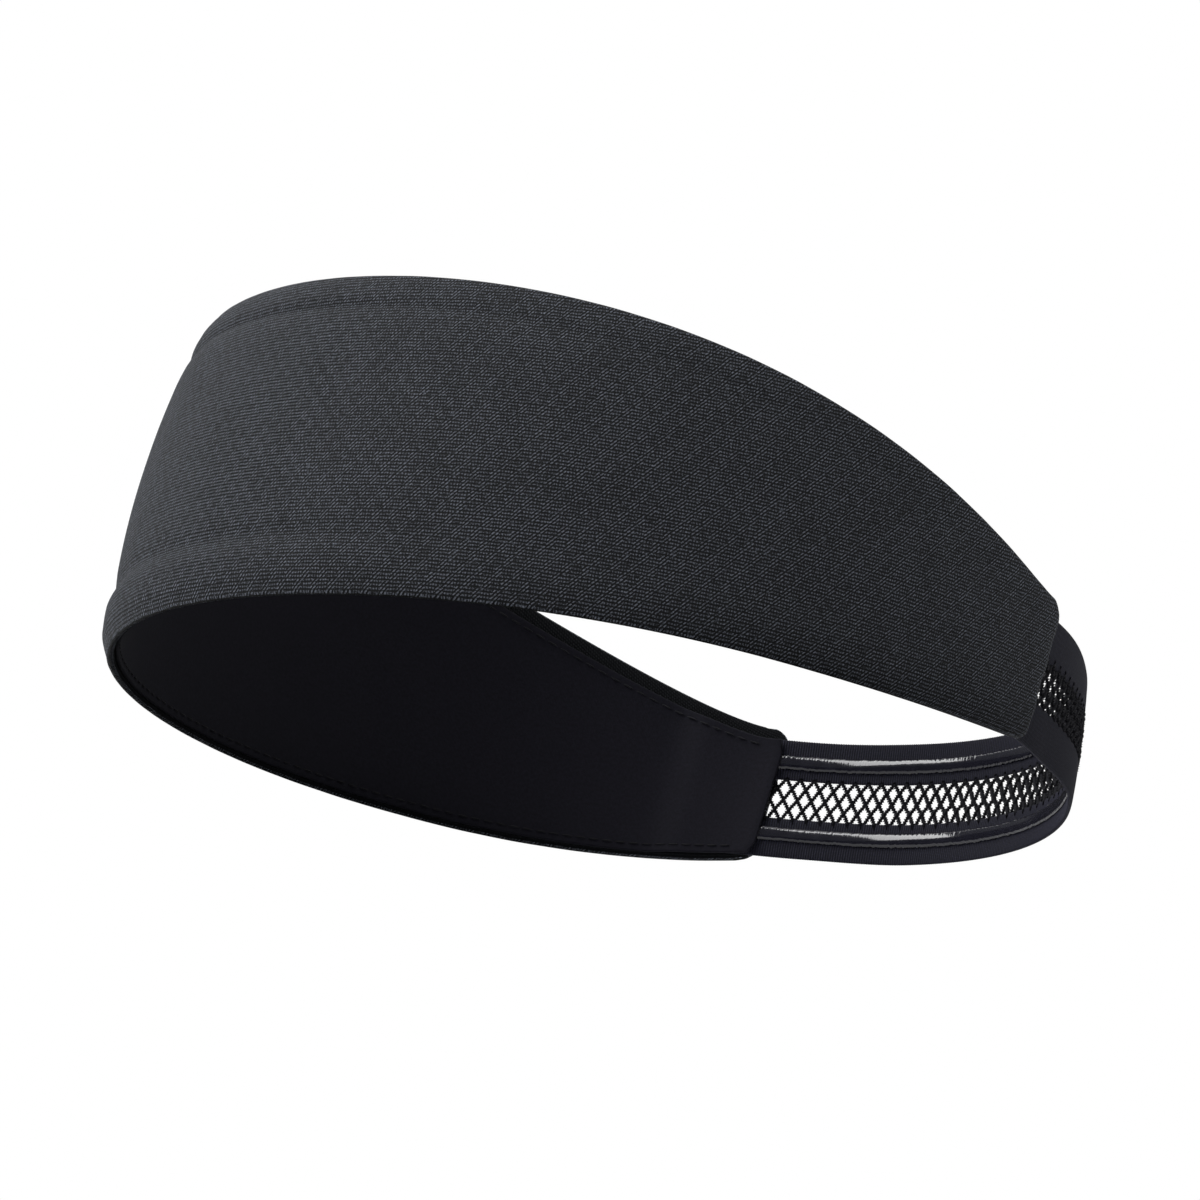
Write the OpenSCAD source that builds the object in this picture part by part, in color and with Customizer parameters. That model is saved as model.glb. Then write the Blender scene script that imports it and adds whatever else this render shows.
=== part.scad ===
// Sports headband: a tapered double-layer knit panel over the forehead and the sides,
// closed behind the head by a narrow elastic band with a net lane and two silicone grips.
// The front faces -Y, the wearer's left is +X, and the lower rim stands on z = 0.

/* [Fit on the head] */
// Length from forehead to back of the head, at the lower rim
head_length = 188; // [150:1:220]
// Width across the temples, at the lower rim
head_width = 156; // [125:1:185]

/* [Panel] */
// Height of the panel at the middle of the forehead
front_height = 64.5; // [45:0.5:90]
// Height of the panel's top corners above the floor
corner_height = 31; // [30:0.5:36]
// How far the lower corners rise off the floor
corner_lift = 3.2; // [0:0.1:3.4]
// Angle from the forehead to the panel's upper corners, in degrees
upper_wrap = 134; // [115:0.5:145]
// Angle from the forehead to the panel's lower corners, in degrees
lower_wrap = 131.5; // [112:0.5:142]
// How long the top edge stays level before it falls
shoulder_power = 3.5; // [2:0.1:5]
// How steeply the top edge falls to the corners
shoulder_fall = 1.6; // [1:0.1:2.5]
// Inward lean of the forehead wall, in degrees
front_lean = 7.3; // [-5:0.1:15]
// Inward lean of the rear wall, in degrees
rear_lean = -2.5; // [-10:0.1:10]
// Outward swell of the wall at half height
swell = 2.5; // [0:0.1:6]

/* [Cloth] */
// Thickness of the outer knit
outer_thick = 0.8; // [0.5:0.05:1.2]
// Thickness of the smooth lining
lining_thick = 0.7; // [0.4:0.05:1.2]
// Width of the outer cloth that is turned in at both edges
hem_width = 10; // [6:0.5:11]
// Strip of turned hem that shows above the lining
upper_reveal = 3; // [1:0.1:5]
// Strip of turned hem that shows below the lining
lower_reveal = 0.8; // [0.4:0.1:3]

/* [Elastic band] */
// Width of the elastic
band_width = 25; // [18:0.5:25]
// Thickness of the ribbed lanes
rib_thick = 0.9; // [0.6:0.05:1.4]
// Thickness of the net lane
net_thick = 0.5; // [0.3:0.05:0.6]
// Width of the net lane in the middle
net_width = 8.4; // [5:0.1:12]
// Distance from the band's edges to the grips
grip_margin = 3.3; // [1.5:0.1:4]
// Width of each silicone grip
grip_width = 3; // [1.5:0.1:3.5]
// How far each grip stands off the elastic
grip_thick = 0.7; // [0.3:0.05:1]
// Height of the band's lower edge where it leaves the panel
band_lift_side = 3.8; // [3.5:0.1:6]
// Height of the band's lower edge at the back of the head
band_lift_rear = 2.4; // [1:0.1:6]
// Inward tilt of the band's upper edge at the back of the head, against the wall, in degrees
band_tilt = 6.5; // [0:0.5:8]
// Length of elastic that is sewn in between the layers
tuck = 10; // [6:0.5:14]

/* [Thread] */
// Thickness of the thread lines
thread_thick = 0.3; // [0.2:0.05:0.4]
// Width of the thread lines
thread_width = 0.5; // [0.3:0.05:0.8]
// Length of one stitch
stitch_length = 2; // [1:0.1:3]
// Distance from one stitch to the next
stitch_pitch = 2.6; // [2.2:0.1:4]
// Distance of the thread lines from the cloth's edges
seam_inset = 1.5; // [1:0.1:3]

/* [Hidden] */

half_length = head_length / 2;
half_width = head_width / 2;
layer_gap = 0.1;

// Depths are measured inwards from the panel's outer face
hem_depth = 2 * outer_thick;
lining_depth = hem_depth + layer_gap;
band_depth = hem_depth + layer_gap;
grip_depth = band_depth + rib_thick + layer_gap;
end_seam_depth = band_depth + rib_thick + layer_gap;
lining_end_depth = end_seam_depth + thread_thick + layer_gap;
hem_step = 0.4;

// The panel is level up to this share of its half length, then its lower edge rises
level_share = 0.7;
panel_steps = 80;
band_steps = 40;
wall_rows = 6;
end_seam_inset = 4;
cover_start = tuck + 12;
cover_end = tuck + 5;
// The band tilts about a line at this share of its width, from tilt_start to tilt_full degrees past the panel
tilt_share = 0.7;
tilt_start = 4;
tilt_full = 20;

// Height of the lower and the upper edge at a share u of the panel's half length, -1 to 1
function lower_edge(u) = corner_lift * pow(max(0, (abs(u) - level_share) / (1 - level_share)), 2);
function upper_edge(u) =
    corner_height + (front_height - corner_height) * pow(1 - pow(abs(u), shoulder_power), shoulder_fall);

// Inward offset of the wall at an angle from the forehead and a height
function lean_at(angle) = let (front = (1 + cos(angle)) / 2) tan(front_lean) * front + tan(rear_lean) * (1 - front);
function wall_offset(angle, z) =
    lean_at(angle) * z - swell * 4 * (z / front_height) * (1 - z / front_height);

// Extra depth of the band at an angle and a height above its lower edge
function tilt_depth(angle, rise) =
    let (past = min(angle, 360 - angle) - upper_wrap, full = smooth((past - tilt_start) / (tilt_full - tilt_start)))
    tan(band_tilt) * full * (rise - tilt_share * band_width);

// The back of the band and the forehead reach equally far from the origin
rear_reach = max([for (rise = [0 : 0.5 : band_width])
    -band_depth - wall_offset(180, band_lift_rear + rise) - tilt_depth(180, rise)]);
front_reach = max([for (z = [0 : 0.5 : front_height]) -wall_offset(0, z)]);
shift_y = (front_reach - rear_reach) / 2;

// A point at an angle from the forehead, a height and a depth below the outer face
function wall_point(angle, z, depth) =
    let (
        nx = half_length * sin(angle),
        ny = -half_width * cos(angle),
        size = sqrt(nx * nx + ny * ny),
        inward = depth + wall_offset(angle, z)
    )
    [half_width * sin(angle) - nx / size * inward, -half_length * cos(angle) - ny / size * inward + shift_y, z];

// Millimetres of wall for each degree near the panel's corners
arc_per_degree =
    norm(wall_point(lower_wrap, corner_lift, 0) - wall_point(lower_wrap - 1, corner_lift, 0));

// A point of the panel at a share u of its half length, a height above its lower edge and a depth
function panel_height(u) = upper_edge(u) - lower_edge(u);
function panel_point(u, rise, depth) =
    let (wrap = lower_wrap + (upper_wrap - lower_wrap) * rise / panel_height(u))
    wall_point(u * wrap, lower_edge(u) + rise, depth);

// Distance along the wall from the nearer end of the panel
function from_end(u) = (1 - abs(u)) * lower_wrap * arc_per_degree;

// A smooth rise from 0 to 1
function smooth(t) = let (s = min(1, max(0, t))) s * s * (3 - 2 * s);

// Depth of the lining's outer face, which passes over the tucked elastic near the ends
function lining_at(u) =
    let (cover = smooth((cover_start - from_end(u)) / (cover_start - cover_end)))
    lining_depth + (lining_end_depth - lining_depth) * cover;

// A point of the band at an angle and a height above its lower edge, which dips at the back of the head
function band_point(angle, rise, depth) =
    let (rear = max(0, sin(180 * (angle - lower_wrap) / (360 - 2 * lower_wrap))))
    let (lift = band_lift_side + (band_lift_rear - band_lift_side) * rear)
    wall_point(angle, lift + rise, depth + tilt_depth(angle, rise));

// A closed ribbon of n steps along and m rows up, with its outer and inner faces given by point(i, j, side)
module ribbon(n, m, point) {
    function at(i, j, side) = (i * (m + 1) + j) * 2 + side;
    function quad(a, b, c, d) = [[a, b, c], [a, c, d]];
    points = [for (i = [0 : n]) for (j = [0 : m]) for (side = [0, 1]) point(i, j, side)];
    walls = [for (i = [0 : n - 1]) for (j = [0 : m - 1]) each concat(
        quad(at(i, j, 0), at(i, j + 1, 0), at(i + 1, j + 1, 0), at(i + 1, j, 0)),
        quad(at(i, j, 1), at(i + 1, j, 1), at(i + 1, j + 1, 1), at(i, j + 1, 1))
    )];
    rims = [for (i = [0 : n - 1]) each concat(
        quad(at(i, m, 0), at(i, m, 1), at(i + 1, m, 1), at(i + 1, m, 0)),
        quad(at(i, 0, 0), at(i + 1, 0, 0), at(i + 1, 0, 1), at(i, 0, 1))
    )];
    caps = [for (j = [0 : m - 1]) each concat(
        quad(at(0, j, 1), at(0, j + 1, 1), at(0, j + 1, 0), at(0, j, 0)),
        quad(at(n, j, 0), at(n, j + 1, 0), at(n, j + 1, 1), at(n, j, 1))
    )];
    polyhedron(points, concat(walls, rims, caps), convexity = 10);
}

// Rows of the outer panel: hem, step to the single cloth, wall, step and hem
function panel_rows(u) =
    let (top = panel_height(u), low = hem_width + hem_step, high = top - hem_width - hem_step)
    low < high - hem_step
        ? concat([0, hem_width], [for (k = [0 : wall_rows]) low + (high - low) * k / wall_rows], [top - hem_width, top])
        : concat([for (k = [0 : wall_rows + 4]) top * k / (wall_rows + 4)]);

module outer_panel() {
    rows = wall_rows + 4;
    color("#34393c")
        ribbon(panel_steps, rows, function(i, j, side)
            let (
                u = -1 + 2 * i / panel_steps,
                hem = j < 2 || j > rows - 2 || from_end(u) < cover_start,
                depth = side == 0 ? 0 : hem ? hem_depth : outer_thick
            )
            panel_point(u, panel_rows(u)[j], depth));
}

module inner_lining() {
    rows = wall_rows + 2;
    color("#15151a")
        ribbon(panel_steps, rows, function(i, j, side)
            let (
                u = -1 + 2 * i / panel_steps,
                span = panel_height(u) - upper_reveal - lower_reveal
            )
            panel_point(u, lower_reveal + span * j / rows, lining_at(u) + side * lining_thick));
}

// A lane of the band between two heights above its lower edge, from one wrap angle round to the other
module band_lane(low, high, depth, thick, first_angle) {
    ribbon(band_steps, 2, function(i, j, side)
        let (angle = first_angle + (360 - 2 * first_angle) * i / band_steps)
        band_point(angle, low + (high - low) * j / 2, depth + side * thick));
}

tucked_angle = lower_wrap - tuck / arc_per_degree;
open_angle = upper_wrap + 0.5;
rib_width = (band_width - net_width) / 2;

module band_upper_rib() {
    color("#22222e") band_lane(rib_width + net_width, band_width, band_depth, rib_thick, tucked_angle);
}

module band_net() {
    color("#2c2c38")
        band_lane(rib_width, rib_width + net_width, band_depth + (rib_thick - net_thick) / 2, net_thick, tucked_angle);
}

module band_lower_rib() {
    color("#22222e") band_lane(0, rib_width, band_depth, rib_thick, tucked_angle);
}

module upper_grip_strip() {
    top = band_width - grip_margin;
    color("#8f9298") band_lane(top - grip_width, top, grip_depth, grip_thick, open_angle);
}

module lower_grip_strip() {
    color("#8f9298") band_lane(grip_margin, grip_margin + grip_width, grip_depth, grip_thick, open_angle);
}

// A line of thread inside the lining, with its middle at rise(u) above the panel's lower edge.
// It stops one step of the panel short of each end.
module lining_thread(rise) {
    color("#0d0d10")
        ribbon(panel_steps - 2, 1, function(i, j, side)
            let (
                u = -1 + 2 * (i + 1) / panel_steps,
                depth = lining_at(u) + lining_thick + layer_gap
            )
            panel_point(u, rise(u) + (j - 0.5) * thread_width, depth + side * thread_thick));
}

module top_hem_seam() {
    lining_thread(function(u) panel_height(u) - upper_reveal - seam_inset);
}

module bottom_hem_seam() {
    lining_thread(function(u) lower_reveal + seam_inset);
}

// The row of stitches that holds one end of the elastic between the layers
module end_seam(sign) {
    count = floor((band_width - 2 * seam_inset) / stitch_pitch);
    first = band_lift_side + (band_width - (count - 1) * stitch_pitch - stitch_length) / 2;
    half_angle = thread_width / 2 / arc_per_degree;
    middle = lower_wrap - end_seam_inset / arc_per_degree;
    color("#0d0d10")
        for (k = [0 : count - 1])
            ribbon(1, 1, function(i, j, side)
                wall_point(
                    sign * middle + (2 * i - 1) * half_angle,
                    first + k * stitch_pitch + j * stitch_length,
                    end_seam_depth + side * thread_thick
                ));
}

module left_end_seam() {
    end_seam(1);
}

module right_end_seam() {
    end_seam(-1);
}

outer_panel();
inner_lining();
band_upper_rib();
band_net();
band_lower_rib();
upper_grip_strip();
lower_grip_strip();
top_hem_seam();
bottom_hem_seam();
left_end_seam();
right_end_seam();
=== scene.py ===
"""Sports headband: a wide two-layer knit panel over the forehead, and a narrow elastic band behind the head.

The front faces -Y, the wearer's left is +X and the lower rim stands on z = 0. Every place comes from Wall,
which repeats the shape that the frame was made with. All lengths are in metres and all angles in radians.
"""

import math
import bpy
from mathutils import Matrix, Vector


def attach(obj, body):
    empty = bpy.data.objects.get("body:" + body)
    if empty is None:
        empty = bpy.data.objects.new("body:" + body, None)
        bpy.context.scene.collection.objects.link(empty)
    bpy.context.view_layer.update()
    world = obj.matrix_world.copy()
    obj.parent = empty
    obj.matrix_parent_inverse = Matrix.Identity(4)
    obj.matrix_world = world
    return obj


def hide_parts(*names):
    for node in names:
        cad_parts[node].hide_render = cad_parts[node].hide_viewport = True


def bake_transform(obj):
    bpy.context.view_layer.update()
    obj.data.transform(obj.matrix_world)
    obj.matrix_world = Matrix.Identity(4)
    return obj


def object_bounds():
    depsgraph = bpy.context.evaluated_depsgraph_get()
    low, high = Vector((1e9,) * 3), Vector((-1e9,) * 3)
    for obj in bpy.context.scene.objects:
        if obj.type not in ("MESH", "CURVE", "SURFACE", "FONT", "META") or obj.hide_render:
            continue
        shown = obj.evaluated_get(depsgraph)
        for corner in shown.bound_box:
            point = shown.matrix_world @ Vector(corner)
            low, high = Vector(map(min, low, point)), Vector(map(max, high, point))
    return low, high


bl_info = {
    "name": "Sports Headband",
    "version": (1, 0, 0),
    "blender": (4, 5, 0),
    "location": "View3D > Sidebar > Headband",
    "description": "Builds a tapered headband with a net elastic and silicone grips around its frame",
    "category": "Add Mesh",
}

import bmesh
import bpy
from bpy.props import FloatProperty, FloatVectorProperty, PointerProperty
from mathutils import Matrix, Vector, noise

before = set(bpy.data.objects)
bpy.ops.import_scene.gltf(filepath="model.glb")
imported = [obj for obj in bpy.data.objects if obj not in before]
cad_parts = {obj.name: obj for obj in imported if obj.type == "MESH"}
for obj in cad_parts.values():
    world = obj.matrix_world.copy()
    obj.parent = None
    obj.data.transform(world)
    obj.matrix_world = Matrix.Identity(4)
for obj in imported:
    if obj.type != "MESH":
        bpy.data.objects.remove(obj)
CAD_LOW, CAD_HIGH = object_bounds()

MM = 0.001
CLOTH_MAP = "Cloth"
TAU = 2 * math.pi


def length(name, description, default):
    """A length that the user may change, in metres."""
    return FloatProperty(name=name, description=description, default=default, unit="LENGTH", precision=5)


def turn(name, description, default):
    """An angle that the user may change, given in degrees and kept in radians."""
    return FloatProperty(name=name, description=description, default=math.radians(default), unit="ROTATION")


def number(name, description, default):
    """A plain factor that the user may change."""
    return FloatProperty(name=name, description=description, default=default)


def shade(name, description, default):
    """A colour that the user may change."""
    return FloatVectorProperty(
        name=name, description=description, default=default, size=3, subtype="COLOR", min=0, max=1
    )


class PanelSizes(bpy.types.PropertyGroup):
    """The panel's outline and how its wall stands."""

    head_length: length("Head length", "Forehead to back of the head, at the lower rim", 188 * MM)
    head_width: length("Head width", "Across the temples, at the lower rim", 156 * MM)
    front_height: length("Front height", "Height over the forehead", CAD_HIGH.z - CAD_LOW.z)
    corner_height: length("Corner height", "Height of the top corners above the floor", 31 * MM)
    corner_lift: length("Corner lift", "How far the lower corners rise off the floor", 3.2 * MM)
    upper_wrap: turn("Upper wrap", "From the forehead to the upper corners", 134)
    lower_wrap: turn("Lower wrap", "From the forehead to the lower corners", 131.5)
    shoulder_power: number("Shoulder power", "How long the top edge stays level", 3.5)
    shoulder_fall: number("Shoulder fall", "How steeply the top edge falls", 1.6)
    front_lean: turn("Front lean", "Inward lean of the forehead wall", 7.3)
    rear_lean: turn("Rear lean", "Inward lean of the rear wall", -2.5)
    swell: length("Swell", "Outward swell of the wall at half height", 2.5 * MM)
    end_round: length("End rounding", "Radius of the panel's corners", 3.4 * MM)
    end_wave: length("End wave", "How far the soft end edge wavers", 0.35 * MM)
    drawn_in: length("Drawn-in top", "How far the top hem draws the forehead's edge inwards", 1.1 * MM)
    belly: length("Belly", "How far the soft cloth bulges out over the forehead", 0.6 * MM)


class ClothSizes(bpy.types.PropertyGroup):
    """The two cloths, their hems and the thread."""

    outer_thick: length("Outer knit", "Thickness of the outer knit", 0.7 * MM)
    lining_thick: length("Lining", "Thickness of the lining", 0.65 * MM)
    upper_hem: length("Upper hem", "Outer cloth that is turned in at the top", 6.5 * MM)
    lower_hem: length("Lower hem", "Outer cloth that is turned in at the bottom", 11 * MM)
    upper_roll: length("Upper roll", "How far the soft upper hem stands out", 0.65 * MM)
    lower_roll: length("Lower roll", "How far the soft lower hem stands out", 1.1 * MM)
    groove: length("Groove", "Depth of the line where the hem ends", 0.4 * MM)
    upper_reveal: length("Upper reveal", "Turned hem that shows above the lining", 3 * MM)
    lower_reveal: length("Lower reveal", "Turned hem that shows below the lining", 0.8 * MM)
    seam_inset: length("Seam inset", "Thread's distance from the lining's edge", 1.5 * MM)
    stitch_length: length("Stitch length", "Length of one stitch", 2 * MM)
    stitch_pitch: length("Stitch pitch", "From one stitch to the next", 2.6 * MM)
    thread_thick: length("Thread", "Thickness of the sewing thread", 0.3 * MM)


class BandSizes(bpy.types.PropertyGroup):
    """The elastic, its net lane and its grips."""

    width: length("Band width", "Width of the elastic", 25 * MM)
    rib_thick: length("Rib thickness", "Thickness of the ribbed lanes", 0.9 * MM)
    rib_pitch: length("Rib pitch", "From one fine rib to the next", 0.52 * MM)
    rib_rise: length("Rib rise", "How far the fine ribs stand out", 0.16 * MM)
    net_width: length("Net width", "Width of the net lane", 8.4 * MM)
    cell_pitch: length("Net pitch", "From one net cell to the next", 2.9 * MM)
    cord_width: length("Net cord", "Width of one net cord", 1.0 * MM)
    loop_reach: length("Net loop", "How far the net's loops reach into the ribs", 0.8 * MM)
    grip_margin: length("Grip margin", "From the band's edge to the grip", 3.3 * MM)
    grip_width: length("Grip width", "Width of one silicone grip", 3 * MM)
    grip_thick: length("Grip height", "How far a grip stands off the elastic", 0.7 * MM)
    lift_side: length("Side lift", "Band's lower edge where it leaves the panel", 3.8 * MM)
    lift_rear: length("Rear lift", "Band's lower edge at the back of the head", 2.4 * MM)
    tilt: turn("Band tilt", "Inward tilt of the band's upper edge at the back of the head", 6.5)
    tuck: length("Tuck", "Elastic that is sewn in between the layers", 10 * MM)


class Finishes(bpy.types.PropertyGroup):
    """The colours of the cloths, the elastic and the grips."""

    # The knit's ground colour holds painted shade for its hollows, and its yarn colour a painted highlight
    # for its raised yarns
    knit_shaded_ground: shade("Knit ground", "Hollows of the outer knit", (0.0025, 0.003, 0.0038))
    knit_lit_yarn: shade("Knit yarn", "Raised yarns of the outer knit", (0.166, 0.182, 0.222))
    lining: shade("Lining", "Smooth lining", (0.0044, 0.0042, 0.007))
    elastic: shade("Elastic", "Ribbed elastic", (0.0026, 0.0026, 0.0052))
    net: shade("Net", "Net cords", (0.0028, 0.0028, 0.0045))
    grip: shade("Grip", "Silicone over the elastic", (0.006, 0.006, 0.009))
    thread: shade("Thread", "Sewing thread", (0.0035, 0.0035, 0.005))


class Wall:
    """The standing wall that every piece lies in. Angles run from the forehead towards the wearer's left."""

    layer_gap = 0.1 * MM
    outer_layer = 0.8 * MM
    level_share = 0.7
    # The soft end edge: how often it wavers, and the notch in it, as shares of its height
    wave_count, wave_phase = 1.6, 0.6
    notch_depth, notch_place, notch_reach = 0.8, 0.8, 0.07
    # How closely an end's trim keeps to the end
    trim_power = 12
    # The tight top hem and the belly fade out from this share of the half length, along this reach
    soft_start, soft_reach = 0.25, 0.45
    draw_reach = 13 * MM
    # How far before the tucked elastic the lining starts to climb over it, and along what distance
    cover_margin, cover_reach = 12 * MM, 7 * MM
    # The band tilts about a line at this share of its width, between these angles past the panel
    tilt_share = 0.7
    tilt_start, tilt_full = math.radians(4), math.radians(20)
    arc_step = math.radians(2)

    def __init__(self, scene):
        panel, cloth, band = scene.headband_panel, scene.headband_cloth, scene.headband_band
        self.half_length = panel.head_length / 2
        self.half_width = panel.head_width / 2
        self.front_height = panel.front_height
        self.corner_height = panel.corner_height
        self.corner_lift = panel.corner_lift
        self.upper_wrap = panel.upper_wrap
        self.lower_wrap = panel.lower_wrap
        self.shoulder_power = panel.shoulder_power
        self.shoulder_fall = panel.shoulder_fall
        self.front_slope = math.tan(panel.front_lean)
        self.rear_slope = math.tan(panel.rear_lean)
        self.swell = panel.swell
        self.end_round = panel.end_round
        self.end_wave = panel.end_wave
        self.drawn_in = panel.drawn_in
        self.belly = panel.belly
        self.tuck = band.tuck
        self.band_width = band.width
        self.lift_side = band.lift_side
        self.lift_rear = band.lift_rear
        self.tilt_slope = math.tan(band.tilt)
        self.band_depth = 2 * self.outer_layer + self.layer_gap
        self.band_inside = self.band_depth + band.rib_thick
        self.seam_depth = self.band_inside + self.layer_gap
        self.lining_end_depth = self.seam_depth + cloth.thread_thick + self.layer_gap
        self.shift_y = 0
        rows = 128
        front_reach = max(-self.offset(0, self.front_height * k / rows) for k in range(rows + 1))
        self.shift_y = CAD_LOW.y + self.half_length + front_reach
        small = math.radians(1)
        self.arc_per_turn = self.arc(self.lower_wrap - small, self.lower_wrap) / small

    def offset(self, angle, z):
        """How far the wall leans and swells inwards at a height."""
        front = (1 + math.cos(angle)) / 2
        lean = self.front_slope * front + self.rear_slope * (1 - front)
        share = z / self.front_height
        return lean * z - self.swell * 4 * share * (1 - share)

    def point(self, angle, z, depth):
        """The place at an angle and a height, and a depth inwards from the panel's outer face."""
        sine, cosine = math.sin(angle), math.cos(angle)
        across, along = self.half_length * sine, -self.half_width * cosine
        inward = (depth + self.offset(angle, z)) / math.hypot(across, along)
        return Vector(
            (
                self.half_width * sine - across * inward,
                -self.half_length * cosine - along * inward + self.shift_y,
                z,
            )
        )

    def arc(self, start, end):
        """The length of the lower rim between two angles."""
        steps = max(2, math.ceil(abs(end - start) / self.arc_step))
        points = [self.point(start + (end - start) * k / steps, 0, 0) for k in range(steps + 1)]
        return math.copysign(sum((b - a).length for a, b in zip(points, points[1:])), end - start)

    def lower_edge(self, u):
        """The panel's lower edge at a share u of its half length, from -1 to 1."""
        rising = max(0, (abs(u) - self.level_share) / (1 - self.level_share))
        return self.corner_lift * rising**2

    def upper_edge(self, u):
        """The panel's upper edge at a share u of its half length."""
        fall = max(0, 1 - min(1, abs(u)) ** self.shoulder_power) ** self.shoulder_fall
        return self.corner_height + (self.front_height - self.corner_height) * fall

    def height(self, u):
        """The panel's height at a share u of its half length."""
        return self.upper_edge(u) - self.lower_edge(u)

    def from_end(self, u):
        """The distance along the wall from the nearer end of the panel."""
        return (1 - abs(u)) * self.lower_wrap * self.arc_per_turn

    def end_trim(self, rise, height):
        """How far the panel's end is drawn back at a height above its lower edge."""
        edge = min(rise, height - rise)
        corner = max(0, self.end_round - max(0, edge))
        rounding = self.end_round - math.sqrt(max(0, self.end_round**2 - corner**2))
        share = rise / height
        notch = self.notch_depth * math.exp(-(((share - self.notch_place) / self.notch_reach) ** 2))
        wave = self.end_wave * (math.sin(TAU * self.wave_count * share + self.wave_phase) - notch)
        return rounding - wave

    def angle(self, u, rise, trim=0):
        """The angle at a share u of the half length and a height above the lower edge."""
        wrap = self.lower_wrap + (self.upper_wrap - self.lower_wrap) * rise / self.height(u)
        return u * wrap - math.copysign(trim / self.arc_per_turn, u) * abs(u) ** self.trim_power

    def panel_point(self, u, rise, depth, trim=0):
        """A place on the panel above its lower edge."""
        softness = self.soft_depth(u, rise)
        return self.point(self.angle(u, rise, trim), self.lower_edge(u) + rise, depth + softness)

    def soft_depth(self, u, rise):
        """How far the tight top hem and the loose cloth below it move the forehead's wall in or out."""
        height = self.height(u)
        fade = 1 - smooth((abs(u) - self.soft_start) / self.soft_reach)
        drawn = self.drawn_in * smooth(1 - (height - rise) / self.draw_reach)
        return fade * (drawn - self.belly * math.sin(math.pi * rise / height))

    def lining_depth(self, u):
        """The depth of the lining's outer face, which passes over the tucked elastic near the ends."""
        cover = smooth((self.tuck + self.cover_margin - self.from_end(u)) / self.cover_reach)
        return self.band_depth + (self.lining_end_depth - self.band_depth) * cover

    def band_floor(self, angle):
        """The height of the band's lower edge, which dips at the back of the head."""
        opening = TAU - 2 * self.lower_wrap
        rear = max(0, math.sin(math.pi * (angle - self.lower_wrap) / opening))
        return self.lift_side + (self.lift_rear - self.lift_side) * rear

    def tilt_depth(self, angle, rise):
        """How much deeper the band's tilt sets a place above its lower edge."""
        past = min(angle, TAU - angle) - self.upper_wrap
        full = smooth((past - self.tilt_start) / (self.tilt_full - self.tilt_start))
        return self.tilt_slope * full * (rise - self.tilt_share * self.band_width)

    def band_point(self, angle, rise, depth):
        """A place on the band above its lower edge."""
        return self.point(angle, self.band_floor(angle) + rise, depth + self.tilt_depth(angle, rise))

    def tucked_angle(self):
        """Where the elastic's sewn-in end lies."""
        return self.lower_wrap - self.tuck / self.arc_per_turn


class Run:
    """A stretch of the rear wall that can be asked for the angle at a distance along it."""

    def __init__(self, wall, first):
        steps = 240
        self.angles = [first + (TAU - 2 * first) * k / steps for k in range(steps + 1)]
        middle = wall.band_width / 2
        points = [wall.band_point(angle, middle, wall.band_depth) for angle in self.angles]
        self.marks = [0]
        for a, b in zip(points, points[1:]):
            self.marks.append(self.marks[-1] + (b - a).length)
        self.length = self.marks[-1]

    def angle(self, distance):
        """The angle at a distance from the run's start, carried on past both ends."""
        step = self.length / (len(self.marks) - 1)
        k = min(len(self.marks) - 2, max(0, int(distance / step)))
        while k > 0 and self.marks[k] > distance:
            k -= 1
        while k < len(self.marks) - 2 and self.marks[k + 1] < distance:
            k += 1
        share = (distance - self.marks[k]) / (self.marks[k + 1] - self.marks[k])
        return self.angles[k] + (self.angles[k + 1] - self.angles[k]) * share


def smooth(t):
    """A smooth rise from 0 to 1."""
    t = min(1, max(0, t))
    return t * t * (3 - 2 * t)


def ripple(along, rise, waves, seed):
    """A slow unevenness from -1 to 1, with so many waves to the metre along a cloth and up it."""
    return noise.noise(Vector((along * waves[0], rise * waves[1], seed)))


def stations_along(wall, columns):
    """Even shares of the panel's half length from end to end, and the rim's length up to each."""
    shares = [2 * i / columns - 1 for i in range(columns + 1)]
    return shares, [wall.arc(0, u * wall.lower_wrap) for u in shares]


def flat_area(flat_length, widths):
    """The area of a flat sheet from its widths at even stations."""
    return sum((a + b) / 2 for a, b in zip(widths, widths[1:])) * flat_length / (len(widths) - 1)


def lay_grid(bm, columns, rows, place, closed=False, material_at=None):
    """Lays a grid so that place(i, j) gives each point and its spot on the flat cloth.

    A closed grid joins its sides, and material_at(j) gives the material of the faces above row j.
    """
    flat = bm.loops.layers.uv.get(CLOTH_MAP) or bm.loops.layers.uv.new(CLOTH_MAP)
    made = bmesh.ops.create_grid(bm, x_segments=columns, y_segments=rows, size=0.5)["verts"]
    spots, levels = {}, {}
    for vert in made:
        i, j = round((vert.co.x + 0.5) * columns), round((vert.co.y + 0.5) * rows)
        vert.co, spots[vert] = place(i, j)
        levels[vert] = j
    for face in {face for vert in made for face in vert.link_faces}:
        for loop in face.loops:
            loop[flat].uv = spots[loop.vert]
        if material_at:
            face.material_index = material_at(min(levels[vert] for vert in face.verts))
    if closed:
        bmesh.ops.remove_doubles(bm, verts=made, dist=0.001 * MM)
    return made


def close_ends(bm):
    """Fills the open ends of the tubes in a mesh."""
    ends = [edge for edge in bm.edges if edge.is_boundary]
    bmesh.ops.holes_fill(bm, edges=ends, sides=0)


def finish_mesh(bm, name, material, smooth_faces=True):
    """Turns a bmesh into a finished object at the origin."""
    for face in bm.faces:
        face.smooth = smooth_faces
    mesh = bpy.data.meshes.new(name)
    bm.to_mesh(mesh)
    bm.free()
    mesh.materials.append(material)
    piece = bpy.data.objects.new(name, mesh)
    bpy.context.scene.collection.objects.link(piece)
    return piece


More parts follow.
